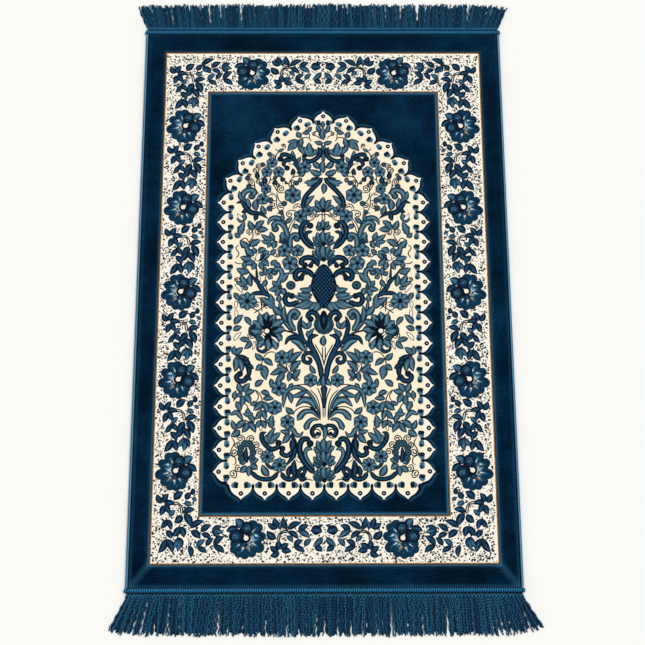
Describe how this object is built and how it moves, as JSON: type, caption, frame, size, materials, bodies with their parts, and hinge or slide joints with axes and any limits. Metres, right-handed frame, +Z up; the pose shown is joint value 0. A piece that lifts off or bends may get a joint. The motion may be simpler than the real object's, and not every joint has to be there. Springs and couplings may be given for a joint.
{
  "type": "prayer rug",
  "caption": "Flat fringed prayer rug: cut-pile panel with a scalloped niche and floral borders, overcast side bindings, whipped end cords and knotted end fringes.",
  "frame": {"origin": "centre of the woven panel's flat underside, on the surface that the rug lies on", "axes": "+Z up out of the pile, +Y along the rug towards the point of the niche, +X to the right seen from above with the niche pointing away"},
  "size_m": [0.753, 1.2296, 0.0086],
  "materials": {
    "pile": "short cut pile, navy with a cream and blue floral design",
    "binding": "overcast yarn",
    "cord": "whipped glossy yarn",
    "fringe": "twisted yarn"
  },
  "bodies": {
    "root": {"pile_cloth": "pile", "binding_left": "binding", "binding_right": "binding", "end_cord_top": "cord", "end_cord_bottom": "cord", "fringe_top": "fringe", "fringe_bottom": "fringe"}
  },
  "joints": []
}
